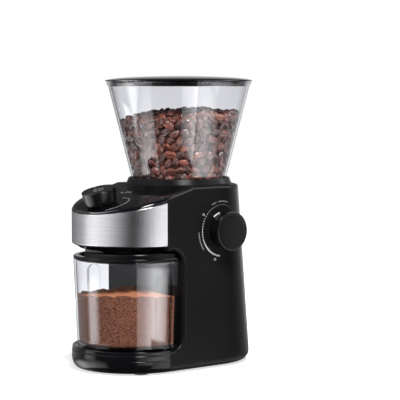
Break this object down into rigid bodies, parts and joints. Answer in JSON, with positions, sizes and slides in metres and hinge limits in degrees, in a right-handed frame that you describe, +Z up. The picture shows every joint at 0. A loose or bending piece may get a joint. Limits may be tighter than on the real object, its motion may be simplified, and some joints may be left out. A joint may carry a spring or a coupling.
{
  "type": "burr coffee grinder",
  "caption": "Electric conical burr coffee grinder with a clear bean hopper, side grind dial, sloping control deck and a removable clear jar in an open bay.",
  "frame": {"origin": "middle of the footprint on the worktop, at the underside of the feet", "axes": "+Z up, -Y towards the jar and the user, +X towards the grind dial"},
  "size_m": [0.1733, 0.2233, 0.33],
  "materials": {
    "satin_black": "satin moulded plastic",
    "gloss_black": "high gloss",
    "stainless": "brushed along the band",
    "clear_plastic": "clear, polished",
    "rubber": "matt",
    "silicone": "matt",
    "inner_plastic": "moulded, fine texture",
    "nylon": "natural nylon",
    "steel": "turned",
    "burr_steel": "hardened, ground",
    "copper": "turned copper segments",
    "graphite": "matt",
    "circuit": "solder mask",
    "switch_plastic": "moulded"
  },
  "bodies": {
    "housing": {"body_shell": "satin_black", "hopper_collar": "satin_black", "bay_panel": "satin_black", "top_deck": "gloss_black", "head_frame": "gloss_black", "base_front": "gloss_black", "front_band": "stainless", "foot_front_left": "rubber", "foot_front_right": "rubber", "foot_rear_left": "rubber", "foot_rear_right": "rubber", "cord_gland": "rubber", "motor_mount_ring": "rubber", "bottom_cover": "inner_plastic", "grinding_chamber": "inner_plastic", "burr_housing": "inner_plastic", "grounds_chute": "inner_plastic", "gearbox_base": "inner_plastic", "gearbox_cover": "inner_plastic", "motor_end_cap": "inner_plastic", "shaft_bushing": "nylon", "cover_screw_left": "steel", "cover_screw_right": "steel", "drive_bearing_lower": "steel", "drive_bearing_upper": "steel", "idler_axle": "steel", "motor_can": "steel", "motor_stator": "steel", "switch_bracket": "steel", "brush_front": "graphite", "brush_rear": "graphite", "circuit_board": "circuit", "selector_switch": "switch_plastic", "start_switch": "switch_plastic", "hopper_switch": "switch_plastic"},
    "hopper_neck": {"hopper_seal": "silicone"},
    "hopper": {"hopper": "clear_plastic"},
    "lid": {"hopper_lid": "gloss_black"},
    "jar": {"jar": "clear_plastic"},
    "jar_lid": {"jar_lid": "gloss_black"},
    "dial": {"grind_knob": "satin_black", "adjust_shaft": "steel", "adjust_pinion": "nylon"},
    "adjuster": {"adjust_ring": "nylon"},
    "upper_burr": {"ring_burr": "burr_steel", "burr_carrier": "inner_plastic"},
    "burr_drive": {"cone_burr": "burr_steel", "impeller": "nylon", "drive_shaft": "steel", "burr_nut": "steel", "output_gear": "nylon"},
    "idler": {"idler_gear": "nylon"},
    "rotor": {"rotor_shaft": "steel", "rotor_core": "steel", "commutator": "copper", "cooling_fan": "nylon", "motor_pinion": "steel"},
    "selector_stem": {"selector_stem": "steel"},
    "selector": {"selector_knob": "satin_black"},
    "interlock": {"interlock_pin": "nylon"}
  },
  "joints": [
    {"name": "hopper_lift", "type": "slide", "parent": "housing", "child": "hopper_neck", "axis": [0, 0, 1], "range_m": [0, 0.12]},
    {"name": "hopper_twist", "type": "hinge", "parent": "hopper_neck", "child": "hopper", "pos_m": [0, 0.0262, 0.2], "axis": [0, 0, 1], "range_deg": [-20, 0]},
    {"name": "lid_lift", "type": "slide", "parent": "hopper", "child": "lid", "axis": [0, 0, 1], "range_m": [0, 0.1]},
    {"name": "jar_slide", "type": "slide", "parent": "housing", "child": "jar", "axis": [0, -1, 0], "range_m": [0, 0.15]},
    {"name": "jar_lid_lift", "type": "slide", "parent": "jar", "child": "jar_lid", "axis": [0, 0, 1], "range_m": [0, 0.0018]},
    {"name": "dial_turn", "type": "hinge", "parent": "housing", "child": "dial", "pos_m": [0, 0.0312, 0.1564], "axis": [1, 0, 0], "range_deg": [-151, 151]},
    {"name": "adjuster_turn", "type": "hinge", "parent": "housing", "child": "adjuster", "pos_m": [0, 0.0262, 0.17], "axis": [0, 0, 1], "range_deg": [-30, 30]},
    {"name": "burr_height", "type": "slide", "parent": "housing", "child": "upper_burr", "axis": [0, 0, 1], "range_m": [-0.0008, 0.0008]},
    {"name": "rotor_spin", "type": "hinge", "parent": "housing", "child": "rotor", "pos_m": [0, 0.0482, 0.07], "axis": [0, 0, 1], "continuous": true},
    {"name": "idler_spin", "type": "hinge", "parent": "housing", "child": "idler", "pos_m": [-0.02924, 0.0415, 0.12], "axis": [0, 0, 1], "continuous": true},
    {"name": "burr_spin", "type": "hinge", "parent": "housing", "child": "burr_drive", "pos_m": [0, 0.0262, 0.16], "axis": [0, 0, 1], "continuous": true},
    {"name": "selector_press", "type": "slide", "parent": "housing", "child": "selector_stem", "axis": [0, 0.2622, -0.965], "range_m": [0, 0.0015], "stiffness_N_per_m": 1000, "springref_m": -0.001},
    {"name": "selector_turn", "type": "hinge", "parent": "selector_stem", "child": "selector", "pos_m": [0, -0.0853, 0.18629], "axis": [0, -0.2622, 0.965], "range_deg": [-135, 135]},
    {"name": "interlock_press", "type": "slide", "parent": "housing", "child": "interlock", "axis": [0, 0, 1], "range_m": [-0.0016, 0]}
  ],
  "couplings": [
    {"joint": "dial_turn", "follows": "adjuster_turn", "ratio": -5},
    {"joint": "burr_height", "follows": "adjuster_turn", "m_per_rad": -0.0014324},
    {"joint": "idler_spin", "follows": "rotor_spin", "ratio": -0.25},
    {"joint": "burr_spin", "follows": "rotor_spin", "ratio": 0.073529},
    {"joint": "interlock_press", "follows": "hopper_twist", "m_per_rad": 0.0042972}
  ]
}
